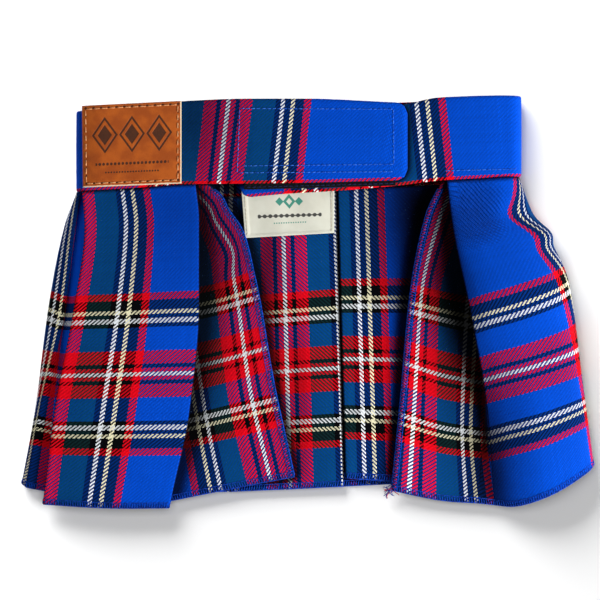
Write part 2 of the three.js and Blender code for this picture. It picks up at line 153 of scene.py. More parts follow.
tartan = {
    "thread": 0.55,  # mm from one thread to the next
    "warpPivot": 13.75,  # mm along the strip to the middle of the first white line
    "weftPivot": 103.4,  # mm down the cloth to the middle white line
    # painted shade between threads: a darker thread is darkened beside a lighter one, and a red one
    # beside a white one
    "depth": 0.78,  # how dark a thread falls beside a lighter one
    "paintedShadeBesideWhite": 0.42,  # and a red one beside a white one
    "blend": 0.78,  # how far two dark threads look like one colour
    "meanPower": 0.15,  # below 1, so that their mean leans to the darker one
    # painted fold shade: metres looked round for shade, the tone left in it, and how open a fold is
    # taken as shut
    "paintedFoldShade": {"reach": 0.07, "dark": 0.07, "skirt": 0.86, "band": 0.6},
    # a stretch where the painted fold shade is mostly left out
    "spared": {"middle": 226, "half": 36, "rim": 3, "share": 0.95},  # mm along, lit all the same
    "lint": (110, 160, 230),
    # painted shade and painted light at set places: mm along and down, reach each way, and how much
    # darker or lighter the cloth is painted there
    "paintedShadesAndLights": [(779, 20, 27, 50, -0.96), (1134, 30, 14, 30, -0.3), (12, 30, 22, 26, -0.2),
               (34, 22, 15, 40, -0.5), (1096, 160, 13, 55, -0.8), (1050, 130, 15, 60, -0.28),
               (1087, 20, 7, 44, -0.8), (98, 20, 28, 48, -0.32), (228, 60, 24, 80, 1.3),
               (607, 30, 3.2, 120, -0.5), (1116, 72, 9, 42, -0.55), (569, 40, 8, 48, -0.6),
               (584, 116, 6, 45, -0.4)],
    "ripples": {"along": 1069, "down": 16, "wide": 24, "tall": 22, "apart": 2.6, "height": 5.5,
                "bend": 5},
    "colours": {
        "W": (238, 242, 246), "R": (234, 5, 27), "K": (3, 4, 7),
        "G": (16, 62, 62), "Y": (244, 238, 200), "B": (0, 74, 201),
    },
    # threads of each colour from the pivot outwards
    "warp": [("W", 2), ("R", 5), ("K", 4), ("R", 12), ("G", 22), ("K", 5), ("W", 4),
             ("K", 6), ("Y", 4), ("K", 9), ("R", 7), ("B", 48)],
    "weft": [("W", 2), ("R", 4), ("K", 4), ("R", 12), ("B", 24), ("K", 4), ("W", 4),
             ("K", 5), ("Y", 4), ("K", 9), ("R", 7), ("B", 121)],
}


def stripeStops(counts):
    total = sum(count for _, count in counts)
    stops, at = [], 0
    for colour, count in counts:
        stops.append((at / total, linear(tartan["colours"][colour])))
        at += count
    return stops, total


def tartanCloth(name, openSky):
    shader = Shader(name)
    along, down = shader.uv("cloth")
    ripple = tartan["ripples"]
    beside = ((along - ripple["along"]) / ripple["wide"]) ** 2
    below = ((down - ripple["down"]) / ripple["tall"]) ** 2
    # painted shade and painted light from the list, at set places on the cloth
    shade = 1
    for alongTo, downTo, wide, tall, change in tartan["paintedShadesAndLights"]:
        off = ((along - alongTo) / wide) ** 2 + ((down - downTo) / tall) ** 2
        shade = shade + (-off).math("EXPONENT") * change
    lit = tartan["spared"]
    spared = shader.between(-abs(along - lit["middle"]), -lit["half"], lit["rim"] - lit["half"])
    phase = (along + down) * (math.tau / ripple["apart"]) + shader.cloudy(70, 1) * ripple["bend"]
    creases = phase.math("SINE") * (1 - beside - below).math("MAXIMUM", 0) * ripple["height"]
    along = (along - tartan["warpPivot"]) / tartan["thread"]
    down = (down - tartan["weftPivot"]) / tartan["thread"]
    warpThread, weftThread = along.math("FLOOR"), down.math("FLOOR")
    stops, half = stripeStops(tartan["warp"])
    warp = shader.node("ShaderNodeValToRGB", {"stops": stops}, {
        0: (warpThread + 0.5).math("PINGPONG", half) / half})
    stops, reach = stripeStops(tartan["weft"])
    weft = shader.node("ShaderNodeValToRGB", {"stops": stops}, {0: abs(weftThread + 0.5) / reach})
    warpOnTop = (warpThread - weftThread) % 4 < 1.99  # over two and under two, a step each row
    # the red channel tells the bright threads from the dark ones; painted shade darkens the dark ones
    # where they sink between them
    step = (shader.channel(warp, "Red") - shader.channel(weft, "Red")) * tartan["depth"]
    warpWhite, weftWhite = shader.channel(warp, "Green"), shader.channel(weft, "Green")
    white = warpWhite.math("MAXIMUM", weftWhite)
    besideWhiteShade = (warpWhite - weftWhite) * tartan["paintedShadeBesideWhite"]
    # two dark colours blend, as the eye can't part threads so fine
    power = tartan["meanPower"]
    both = shader.mix(0.5, shader.gamma(weft, power), shader.gamma(warp, power))
    both = shader.gamma(both, 1 / power)
    alike = (tartan["blend"] - abs(step) - white).math("MAXIMUM", 0)
    weft = shader.dim(weft, 1 - step.math("MAXIMUM", 0).math("MAXIMUM", besideWhiteShade))
    warp = shader.dim(warp, 1 + step.math("MINIMUM", 0).math("MINIMUM", besideWhiteShade))
    colour = shader.mix(alike, shader.mix(warpOnTop, weft, warp), both)
    # each thread is dyed and lit a little differently at random, and the thread on top is painted
    # lighter than the one beneath, a painted light on the twill
    number = shader.node("ShaderNodeCombineXYZ", None, {
        0: warpThread * warpOnTop, 1: weftThread - weftThread * warpOnTop})
    dye = shader.node("ShaderNodeTexWhiteNoise", {"noise_dimensions": "2D"}, {"Vector": number})
    nap = shader.cloudy(2600, 3)
    uneven = dye * 0.16 + shader.cloudy(60) * 0.14 + (nap - 0.5) * 0.28
    # the painted shade and painted light from the list darken or lighten the thread tones
    tone = shade * (0.76 + warpOnTop * 0.2 + uneven)
    # painted shade: the colour is darkened where little light gets down into the folds
    paintedFoldShade = tartan["paintedFoldShade"]
    sky = shader.node("ShaderNodeAmbientOcclusion", {"only_local": True, "samples": 16}, {
        "Distance": paintedFoldShade["reach"]}, out="AO")
    sky = shader.between(sky, openSky, 1.0)
    # along the spared stretch most of the painted fold shade is lifted
    sky = sky + (1 - sky) * spared * lit["share"]
    colour = shader.dim(colour, tone * (paintedFoldShade["dark"] + sky * (1 - paintedFoldShade["dark"])))
    lint = shader.between(shader.cloudy(1500, 2), 0.7, 0.82) * 0.34
    colour = shader.mix(lint, colour, linear(tartan["lint"]))
    # the round tops of the threads
    warpRound = 1 - abs(along % 1 - 0.5) * 2
    weftRound = 1 - abs(down % 1 - 0.5) * 2
    height = warpRound * warpOnTop + weftRound * (1 - warpOnTop) + nap * 0.5 + creases
    return shader.finish(colour, 0.9 + nap * 0.08, height, 0.16, sheen=0.015, shine=0.04)


def threadCloth(name, colour, other):
    shader = Shader(name)
    tone = shader.cloudy(900, 3)
    colour = shader.mix(shader.between(tone, 0.35, 0.65), linear(colour), linear(other))
    return shader.finish(colour, 0.85, shader.cloudy(3500, 2), 0.08, sheen=0.02, shine=0.1)


def newPiece(name, points, faces, material, uvs=None, uvName="cloth", smooth=True):
    mesh = bpy.data.meshes.new(name)
    mesh.from_pydata([tuple(p) for p in points], [], faces)
    if uvs is not None:
        layer = mesh.uv_layers.new(name=uvName)
        corners = np.empty(len(mesh.loops), dtype=np.int32)
        mesh.loops.foreach_get("vertex_index", corners)
        layer.data.foreach_set("uv", np.asarray(uvs, dtype=np.float32)[corners].ravel())
    mesh.materials.append(material)
    if smooth:
        mesh.shade_smooth()
    mesh.update()
    piece = bpy.data.objects.new(name, mesh)
    scene.collection.objects.link(piece)
    return piece


def smoothAt(stations, values, at):
    # monotone cubic through the values at the stations
    stations, values = np.asarray(stations, float), np.asarray(values, float)
    rise = np.diff(values) / np.diff(stations)
    slope = np.zeros(len(values))
    both = rise[:-1] * rise[1:] > 0
    slope[1:-1][both] = 2 * rise[:-1][both] * rise[1:][both] / (rise[:-1] + rise[1:])[both]
    slope[0], slope[-1] = rise[0], rise[-1]
    i = np.clip(np.searchsorted(stations, at, side="left") - 1, 0, len(stations) - 2)
    width = stations[i + 1] - stations[i]
    t = (at - stations[i]) / width
    return (values[i] + (values[i + 1] - values[i]) * t * t * (3 - 2 * t)
            + t * (1 - t) ** 2 * width * slope[i] + t * t * (t - 1) * width * slope[i + 1])


def curveThrough(points, share):
    # centripetal Catmull-Rom through the points, at shares from 0 to 1
    points = np.asarray(points, float)
    ends = [2 * points[0] - points[1], 2 * points[-1] - points[-2]]
    padded = np.vstack([ends[0], points, ends[1]])
    spans = len(points) - 1
    place = np.clip(np.asarray(share, float), 0, 1) * spans
    i = np.minimum(place.astype(int), spans - 1)
    t = (place - i)[:, None]
    p0, p1, p2, p3 = padded[i], padded[i + 1], padded[i + 2], padded[i + 3]
    step = [np.maximum(np.sqrt(np.linalg.norm(b - a, axis=1)), 1e-4)[:, None]
            for a, b in ((p0, p1), (p1, p2), (p2, p3))]
    m1 = ((p1 - p0) / step[0] - (p2 - p0) / (step[0] + step[1]) + (p2 - p1) / step[1]) * step[1]
    m2 = ((p2 - p1) / step[1] - (p3 - p1) / (step[1] + step[2]) + (p3 - p2) / step[2]) * step[1]
    return (p1 + m1 * t + (3 * (p2 - p1) - 2 * m1 - m2) * t ** 2
            + (2 * (p1 - p2) + m1 + m2) * t ** 3)


def unit(v):
    return v / np.maximum(np.linalg.norm(v, axis=-1, keepdims=True), 1e-9)


def lengthAlong(line):
    return np.concatenate([[0], np.cumsum(np.linalg.norm(np.diff(line, axis=0), axis=1))])


def sampled(table, length, places):
    return np.column_stack([np.interp(places, length, column) for column in table.T])


def closedGrid(columns, rows):
    # faces of two grids of points, the second behind the first, joined all round their rims
    count = columns * rows
    grid = np.arange(count).reshape(columns, rows)
    corners = grid[:-1, :-1], grid[1:, :-1], grid[1:, 1:], grid[:-1, 1:]
    a, b, c, d = [corner.ravel() for corner in corners]
    quads = [np.stack([a, b, c, d], -1), np.stack([a, d, c, b], -1) + count]
    for line, flip in ((grid[:, 0], False), (grid[:, -1], True), (grid[0], True), (grid[-1], False)):
        p, q = line[:-1], line[1:]
        rim = np.stack([p, p + count, q + count, q], -1)
        quads.append(rim[:, ::-1] if flip else rim)
    return np.vstack(quads).tolist()


def tubeFaces(rings, sides, start=0):
    # faces round rings of points, with the two ends closed
    grid = np.arange(rings * sides).reshape(rings, sides) + start
    ahead = np.roll(grid, -1, axis=1)
    around = np.stack([grid[:-1], ahead[:-1], ahead[1:], grid[1:]], -1).reshape(-1, 4)
    return [*around.tolist(), grid[0, ::-1].tolist(), grid[-1].tolist()]


def wall(middle, thickness, uv):
    # a closed wall about a grid of points [column][row], with its UVs
    normal = unit(np.cross(np.gradient(middle, axis=0), np.gradient(middle, axis=1)))
    half = normal * thickness / 2
    points = np.vstack([face.reshape(-1, 3) for face in (middle + half, middle - half)])
    return points, closedGrid(*middle.shape[:2]), np.vstack([uv.reshape(-1, 2)] * 2), normal


def threads(name, paths, radius, material, sides=5):
    # one joined mesh of round threads, each along its own path of points
    points, faces = [], []
    turns = [2 * math.pi * k / sides for k in range(sides)]
    ring = [(math.cos(turn), math.sin(turn)) for turn in turns]
    for path in paths:
        path = np.array(path, float)
        path[:, 2] = np.maximum(path[:, 2], radius * 1.1)  # nothing sinks below the table
        along = unit(np.gradient(path, axis=0))
        helper = [0.13, 0.21, 0.97] if abs(along[0][2]) < 0.8 else [0.9, 0.3, 0.1]
        side = unit(np.cross(along, helper))
        up = np.cross(side, along)
        faces += tubeFaces(len(path), sides, len(points))
        for k, p in enumerate(path):
            size = radius * (0.55 if k in (0, len(path) - 1) else 1)
            points += [p + size * (c * side[k] + s * up[k]) for c, s in ring]
    return newPiece(name, np.array(points) * mm, faces, material)


pleats = {
    "thickness": 0.95,  # mm
    "layerPitch": 1.6,  # from one layer's middle to the next
    "jointGap": 1.6,
    "rows": 73,
    "step": 2.7,  # mm between columns
    "ripple": 0.42,  # how far the cloth waves
    "solidThickness": 1.2,
}
foldRadius = pleats["layerPitch"] / 2
outerFoldHeight = pleats["solidThickness"] / 2 + foldRadius
innerFoldHeight = outerFoldHeight + pleats["layerPitch"]
levels = [0, 0.12, 0.38, 0.7, 1]
evenDown = [0, 20.9, 66.5, 122.1, 175.5]  # mm down the cloth at the levels

# kind, s in mm along the strip, x at the five levels, y at the four below the seam, z, and how far
# the fold stays closed and the mm down the cloth, where they aren't the usual
leftFolds = [
    ("edge", [0], [-54.5, -41, -28.5, -19, -7.5],
     [48.5, 7.5, -45, -96], [10.8, 9.6, 8.2, 7.6, 7.8]),
    ("bend", [24], [-76, -56.5, -49, -42.5, -31.5],
     [40.5, 1.5, -51, -100.5], [10.8, 8, 6.4, 6.4, 6.8]),
    ("valley", [45, 51, 60, 69, 78], [-93, -92, -85, -81.5, -84],
     [40.5, -4, -60, -111], [10.8, 8.4, 7, 6.8, 6.8]),
    ("ridge", [85], [-62, -60, -60, -65, -76.5],
     [41.5, -4, -59.5, -113], [12.4, 12.8, 12.8, 12, 10.5]),
    ("bend", [117], [-93, -90.6, -94.0, -101.5, -110],
     [41, -4, -59.5, -113], [12.4, 13.2, 13.4, 12.8, 11.3]),
    ("ridge", [148], [-123.2, -122.0, -128, -138.5, -145],
     [40.5, -4, -59.5, -111], [12.4, 11.8, 11.2, 10.2, 9.2]),
    ("valley", [175, 178, 183, 189, 195], [-98.5, -98.5, -99.5, -100, -101],
     [40.5, -4, -59.5, -109], [10.8, 9.6, 9, 8.6, 8.2]),
    ("bend", [201, 204, 209, 220, 226], [-120.5, -121.5, -124, -120, -120],
     [40.5, -4, -59, -106.5], [9.6, 8.8, 8.4, 8.2, 7]),
    ("valley", [232, 236, 243, 248, 250], [-123.7, -126.5, -132.5, -137, -143],
     [40.5, -4, -59, -104], [5.2, 6.6, 7.0, 7.2, 5.6], [1, 1, 0.5, 0, 0]),
    ("ridge", [259], [-125.3, -128.5, -134, -146, -154],
     [41, -4, -57, -102], [9.9, 9.4, 8.6, 6.8, 5.2], [1, 1, 1, 0, 0]),
    ("bend", [266, 271, 273, 268, 263], [-125.4, -132.4, -141, -148.5, -156],
     [41.5, -1, -58.5, -100], [5.5, 5.5, 4.8, 4, 3.6]),
    ("bend", [274, 279, 283, 278, 273], [-121.5, -126, -134, -143, -150.5],
     [40.5, -3.5, -59.5, -101], [1.4, 1.4, 1.4, 1.4, 1.4]),
]
rightFolds = [
    ("bend", [1020, 1004, 1021, 1027, 1030], [110.5, 117, 136, 144.5, 151],
     [47, 10.5, -47.5, -91], [1.4, 1.4, 1.4, 1.4, 1.4]),
    ("bend", [1028, 1012, 1029, 1037, 1039], [114.5, 122.5, 141, 149.5, 155.5],
     [47.5, 13.5, -45.5, -89.5], [7, 8, 11, 9.5, 7.5]),
    ("bend", [1043, 1042, 1046, 1046, 1046], [112, 115, 134, 146, 153],
     [46.5, 9, -47.5, -93], [12.4, 14.5, 19.5, 16.5, 12]),
    ("bend", [1065], [91, 92.5, 113.5, 126.5, 133.5],
     [45, 2, -54, -105.5], [12.4, 15.5, 22.5, 21, 16]),
    ("bend", [1074, 1076, 1081, 1084, 1083], [82, 84.5, 97, 107.5, 114.5],
     [43.5, -2.5, -59, -112], [12.4, 15, 19.5, 15, 10.5]),
    ("ridge", [1080, 1083, 1088, 1093, 1096], [76.5, 79.5, 89.5, 99, 102.5],
     [43.5, -5, -61.5, -111.5], [12.4, 14, 16.5, 10.5, 4.6], [1, 1, 1, 0.6, 0],
     [-5.5, 18.2, 66.5, 122.1, 171]),
    ("valley", [1113, 1108, 1099, 1098, 1105], [109.5, 104.5, 100, 96.5, 93.5],
     [42.5, -7, -63, -110.5], [10.8, 8.8, 7.8, 6.8, 6.2], [1, 1, 1, 0.5, 0]),
    ("bend", [1131, 1129, 1125, 1125, 1125], [91.5, 83.5, 74, 73, 73],
     [45.5, -1, -59, -109], [10.8, 8.6, 6.8, 6.4, 6.2]),
    ("edge", [1148], [73.5, 64.5, 56, 51, 46],
     [48.5, 4, -51.5, -103.5], [10.8, 10.2, 9.2, 8.2, 7.4]),
]
# the back: where pleats meet edge to edge, as x at the seam and at the hem, and y at the hem
# to the left and to the right
outerJoints = [(-78.7, -80.3, -104.8, -104.8), (-16, -12.7, -103, -103),
               (49.8, 53.9, -99.6, -99.6), (102, 139.4, -96, -96)]
innerJoints = [(-110.8, -115.2, -104, -104), (-47.3, -44, -104.2, -104.2),
               (15.7, 20, -101.3, -96.8), (80, 86.9, -100.4, -100.4), (109.5, 150.5, -92, -92)]
backAlong = [325, 356.4, 419.1, 450.5, 513.2, 544.5, 605.3, 638.6,
             704, 736.5, 799.2, 828.3, 891, 922.4, 968, 1017.5]  # mm along the strip at each fold
backDrift = {6: (0.9, 0.8, 0.5, 0.2, 0.0)}  # and how much further at each level
backDown = {5: (3.6, 169.2), 6: (3.6, 169.2), 9: (9.9, 168.7), 10: (9.9, 168.7)}
sideBottoms = {"left": 60.1, "right": 68.4}  # y of the band's lower edge at its two sides


# x, z of the cloth's middle, the Y of its edges, mm along the cloth from its white line, and its lean
bandPath = [
    (54.5, 16.0, 108.5, 66.5, -97.2, 0.10),
    (47, 16.4, 109, 66.2, -91.2, 0.10),
    (0, 16.4, 111, 65, -46.2, 0.11),
    (-34, 16.3, 111, 64.5, -12.2, 0.12),
    (-64, 13.4, 110, 64.3, 17.8, 0.11),
    (-98, 13.2, 106.5, 62, 51.8, 0.05),
    (-116, 13.2, 105, 61, 69.8, 0),
    (-124.3, 11.8, 104.5, 60.3, 78.6, 0),
    (-126.1, 7.2, 104.3, 60.1, 84, 0),
    (-124.3, 2.6, 104.3, 60, 89, 0),
    (-116, 1.1, 104.5, 59.5, 98, 0),
    (-79, 1.1, 105.5, 57.8, 142, 0),
    (-43, 1.1, 106.5, 57.6, 179.5, 0),
    (15.5, 1.1, 108, 62, 240, 0),
    (78, 1.1, 110.5, 64.5, 305, 0),
    (106, 1.1, 111.8, 67, 334, 0),
    (114.3, 2.6, 112.2, 67.8, 343, 0),
    (116, 7.2, 112.5, 68.4, 348, 0),
    (114.3, 11.8, 112.7, 68.4, 353, 0),
    (106, 13.2, 112.9, 68, 362, -0.06),
    (72.5, 12.9, 111.8, 66.3, 395.6, -0.11),
    (50.5, 12.2, 107.5, 63.6, 417.6, -0.10),
    (14, 12.1, 104, 60.5, 454, -0.08),
    (-11, 12.1, 102.5, 59, 479, 0),
    (-37.5, 12.1, 100.5, 56.6, 505.5, 0),
]
band = {
    "thickness": 2.0,
    "solidThickness": 2.2,
    "step": 1.7,  # mm between sections, and coarser for the seam alone
    "seamStep": 3.0,
    "seamGap": 0.1,
    "sideHeight": 7.2,
    "corners": {"tab": 6.5, "underlap": 7.0},
    "endRound": 1.2,
    "bulge": 0.15,
    "wave": 0.35,
    "frontAbove": 9,
    "threadScale": 264 / 256,  # its stripes are this much wider than the skirt's
    "leanFrom": 86,  # y about which they lean
    "redEdge": 61.0,  # mm down the cloth at the band's lower edge
}


def bandStations(step):
    # the path, sampled evenly: x, z, top, bottom, along, lean
    rows = np.array(bandPath, float)
    index = np.arange(len(rows))
    share = np.linspace(0, 1, 4000)
    line = curveThrough(np.column_stack([rows[:, 0], rows[:, 1] * 0, rows[:, 1]]), share)
    rest = np.column_stack([smoothAt(index, rows[:, k], share * index[-1]) for k in (2, 3, 4, 5)])
    length = lengthAlong(line)
    even = np.linspace(0, length[-1], int(length[-1] / step))
    table = np.column_stack([line[:, 0], np.maximum(line[:, 2], band["solidThickness"] / 2), rest])
    return sampled(table, length, even)


def seamLines():
    # the band's lower edge: front left, back, front right, as rows of x and y
    rows = bandStations(band["seamStep"])
    low = np.nonzero(rows[:, 1] <= band["sideHeight"])[0]
    first, last = low[0], low[-1]
    picks = {"left": rows[:first + 1], "back": rows[first - 1:last + 2], "right": rows[last:]}
    lines = {}
    for name, pick in picks.items():
        order = np.argsort(pick[:, 0])
        lines[name] = (pick[order, 0], pick[order, 3] - band["seamGap"])
    return lines


def seamAt(lines, x, z):
    front = "left" if x < 0 else "right"
    xs, ys = lines[front if z > band["sideHeight"] else "back"]
    return np.interp(x, xs, ys)


def frontFold(row):
    fold = dict(zip(("kind", "s", "x", "y", "z", "closed", "down"), row))
    seam = sideBottoms["left" if fold["x"][0] < 0 else "right"]
    s = fold["s"] * 5 if len(fold["s"]) == 1 else fold["s"]
    return {"closed": [1] * 5, "down": evenDown, **fold, "s": s, "y": [seam, *fold["y"]]}


def backFold(number, kind, joint, side):
    seamX, hemX, hemLeft, hemRight = joint
    offset = side * pleats["jointGap"] / 2
    seamY, hemY = sideBottoms["left"], hemLeft if side < 0 else hemRight
    top, bottom = backDown.get(number, (evenDown[0], evenDown[-1] - 2))
    return {
        "kind": kind, "closed": [1] * 5,
        "s": [backAlong[number] + drift for drift in backDrift.get(number, [0] * 5)],
        "x": [seamX + offset + (hemX - seamX) * level for level in levels],
        "y": [seamY + (hemY - seamY) * level for level in levels],
        "z": [outerFoldHeight if kind == "ridge" else innerFoldHeight] * 5,
        "down": [top + (bottom - top) * level for level in levels],
    }


def allFolds():
    back = []
    for i, joint in enumerate(outerJoints):
        back += [backFold(4 * i, "ridge", joint, -1),
                 backFold(4 * i + 1, "valley", innerJoints[i], 1),
                 backFold(4 * i + 2, "valley", innerJoints[i + 1], -1),
                 backFold(4 * i + 3, "ridge", joint, 1)]
    return [frontFold(f) for f in leftFolds] + back + [frontFold(f) for f in rightFolds]


def panelsOf(folds):
    turnOf = {"ridge": 1, "valley": -1}
    panels, current = [], []
    for fold in folds:
        current.append(fold)
        if fold["kind"] != "bend" and len(current) > 1:
            turns = [turnOf.get(current[0]["kind"]), turnOf.get(current[-1]["kind"])]
            turns = [turns[0] or turns[1], turns[1] or turns[0]]
            panels.append({"folds": current, "turns": turns,
                           "rounded": [current[0]["kind"] != "edge", current[-1]["kind"] != "edge"]})
            current = [fold]
    return panels


def panelShares(panel, points):
    spans = len(points) - 1
    lengths = np.linalg.norm(np.diff(points, axis=0), axis=1)
    near = foldRadius * np.array([0, 0.08, 0.22, 0.45, 0.72, 1.0])
    shares = []
    if panel["rounded"][0]:
        shares += list(near / lengths[0] / spans)
    if panel["rounded"][1]:
        shares += list(1 - near / lengths[-1] / spans)
    shares += [0, 1]
    reach = [max([0] + [v for v in shares if v < 0.5]), min([1] + [v for v in shares if v > 0.5])]
    shares += list(np.linspace(reach[0], reach[1], panel["inner"] + 1)[1:-1])
    return np.unique(np.round(shares, 9))


def rightSide(direction):
    return unit(np.stack([direction[..., 2], direction[..., 0] * 0, -direction[..., 0]], -1))


def tangentAt(points, share):
    return unit(curveThrough(points, share + 1e-4) - curveThrough(points, share - 1e-4))


def panelLine(panel, row):
    return np.array([[smoothAt(levels, fold[k], row) for k in "xyz"] for fold in panel["folds"]])


def stripRow(panels, row):
    # one level of the whole strip: points, mm along and mm down
    lines = [panelLine(panel, row) for panel in panels]
    ends = np.array([0.0, 1.0])
    tangents = [tangentAt(line, ends) for line in lines]
    points, alongs, downs = [], [], []
    for i, (panel, line) in enumerate(zip(panels, lines)):
        share = panelShares(panel, line)
        middle = curveThrough(line, share)
        normal = rightSide(tangentAt(line, share))
        total = np.zeros_like(middle)
        for e, other in enumerate((i - 1, i + 1)):
            beside = tangents[other][1 - e] if 0 <= other < len(panels) else tangents[i][e]
            apart = rightSide(beside + tangents[i][e])
            weight = (1 - share) if e == 0 else share
            near = 1 - np.minimum(np.linalg.norm(middle - line[-e], axis=1) / foldRadius, 1)
            arc = np.sqrt(1 - near ** 2) if panel["rounded"][e] else np.ones(len(share))
            shut = smoothAt(levels, panel["folds"][-e]["closed"], row)
            reach = panel["turns"][e] * foldRadius * weight
            total += normal * (reach * arc)[:, None]
            total += apart * (reach * (1 - arc) * (1 - shut))[:, None]
        middle = middle + total
        middle[:, 2] = np.maximum(middle[:, 2], pleats["solidThickness"] / 2)
        spots = np.linspace(0, 1, len(line))
        along = np.interp(share, spots, [smoothAt(levels, f["s"], row) for f in panel["folds"]])
        down = np.interp(share, spots, [smoothAt(levels, f["down"], row) for f in panel["folds"]])
        start = 0 if i == 0 else 1
        points.append(middle[start:])
        alongs.append(along[start:])
        downs.append(down[start:])
    return np.vstack(points), np.concatenate(alongs), np.concatenate(downs)


def wave(x, y, z):
    # soft hollows that all the layers share, less where they rest on the table
    broad = noise.noise(Vector((x * 0.028, y * 0.018, 3.1)))
    small = noise.noise(Vector((x * 0.075, y * 0.045, 8.3)))
    return (broad + 0.45 * small) * pleats["ripple"] * min(1.0, max(0.0, (z - 0.8) / 4))


def puckers(x, y, z):
    # fine creases where the raised pleat leaves the band
    reach = math.exp(-((x - 92) / 13) ** 2 - ((y - 52) / 15) ** 2) * (1 if z > 11 else 0)
    bend = 1.3 * noise.noise(Vector((x * 0.1, y * 0.1, 1.0)))
    return reach * 0.2 * math.sin((x * 0.55 + y) * 1.55 + bend)


def hump(at, middle, reach):
    return math.exp(-((at - middle) / reach) ** 2)


swells = [  # mm moved to the right, then middle and reach, along the strip and down it
    (6.2, 1030, 22, 33, 8),  # the right side swells
    (-5.2, 1042, 11, 20, 8.5),  # and draws in just below the band
    (-3.6, 0, 28, 22, 10),  # the left front's free edge rolls in under the band
    (2.6, 16, 9, 44, 9),  # and falls outwards below that
]


def shoulder(s, down):
    return sum(size * hump(s, middle, wide) * hump(down, low, tall)
               for size, middle, wide, low, tall in swells)


def buildStrip():
    panels = panelsOf(allFolds())
    for panel in panels:
        panel["inner"] = max(3, int(round(lengthAlong(panelLine(panel, 0.7))[-1] / pleats["step"])))
    rows = np.linspace(0, 1, pleats["rows"])
    middle, along, down = [np.stack(part, 1) for part in zip(*[stripRow(panels, row) for row in rows])]
    lines = seamLines()
    for column, columnAlong, columnDown in zip(middle, along, down):
        column[:, 0] += [shoulder(s, d) for s, d in zip(columnAlong, columnDown)]
        lift = seamAt(lines, column[0, 0], column[0, 2]) - column[0, 1]
        column[:, 1] += lift * (1 - rows)
        for point in column:
            point[2] += wave(*point) + puckers(*point)
    return middle + shift, np.stack([along, down], -1) * mm


print("strip")
skirtCloth = tartanCloth("tartanCloth", tartan["paintedFoldShade"]["skirt"])
stripMiddle, clothUv = buildStrip()
points, faces, uvs, stripNormal = wall(stripMiddle, pleats["thickness"], clothUv)
skirt = newPiece("pleated_skirt", points * mm, faces, skirtCloth, uvs)
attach(skirt, "root")
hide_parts("skirt_left_front", "skirt_back", "skirt_right_front")


def bandSection(thickness, half):
    # points all round the band: the offset across the cloth and the share of its height
    edge = 7
    points = []
    for side in (1, -1):
        across, inset = side * thickness / 2, thickness / 2 / (2 * half)
        for h in np.linspace(0.5 * side, -0.5 * side, 25)[1:-1]:
            points.append((across, np.clip(h, -0.5 + inset, 0.5 - inset)))
        for k in range(1, edge):
            turn = math.pi * k / edge
            points.append((across * math.cos(turn), (inset - inset * math.sin(turn) - 0.5) * side))
    return points


def buildBand():
    rows = bandStations(band["step"])
    line = np.column_stack([rows[:, 0], np.zeros(len(rows)), rows[:, 1]])
    out = rightSide(unit(np.gradient(line, axis=0)))  # towards the cloth's outside
    length = lengthAlong(line)
    corner = band["corners"]

    def roundOff(near, radius):
        return math.sqrt(max(0.0, 1 - (1 - near / radius) ** 2))

    points, uvs = [], []
    for i, (x, z, top, bottom, along, lean) in enumerate(rows):
        inset, squeeze = 0.0, 1.0
        for near, radius in ((length[i], corner["tab"]), (length[-1] - length[i], corner["underlap"])):
            if near < radius:
                inset = radius * (1 - roundOff(near, radius)) * 0.9
            if near < band["endRound"]:
                squeeze = max(0.25, roundOff(near, band["endRound"]))
        topY, lowY = top - inset, bottom + inset
        half = (topY - lowY) / 2
        for across, h in bandSection(band["thickness"] * squeeze, half):
            y = (topY + lowY) / 2 + h * 2 * half
            bulge = band["bulge"] * math.cos(math.pi * h) * (1 if across > 0 else 0)
            reach = across + bulge * squeeze
            points.append((x + out[i][0] * reach, y, z + out[i][2] * reach))
            uvs.append(((along + lean * (y - band["leanFrom"])) / band["threadScale"]
                        + tartan["warpPivot"], band["redEdge"] - (y - bottom)))
    points = np.array(points)
    for p in points:
        if p[2] > band["frontAbove"]:
            p[2] += band["wave"] * noise.noise(Vector((p[0] * 0.03, p[1] * 0.02, 5.5)))
        p[2] = max(p[2], 0.0)
    faces = tubeFaces(len(rows), len(points) // len(rows))
    return points + shift, faces, np.array(uvs) * mm


print("waistband")
bandCloth = tartanCloth("bandCloth", tartan["paintedFoldShade"]["band"])
points, faces, uvs = buildBand()
waistband = newPiece("waistband_cloth", points * mm, faces, bandCloth, uvs)
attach(waistband, "root")
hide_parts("waistband")


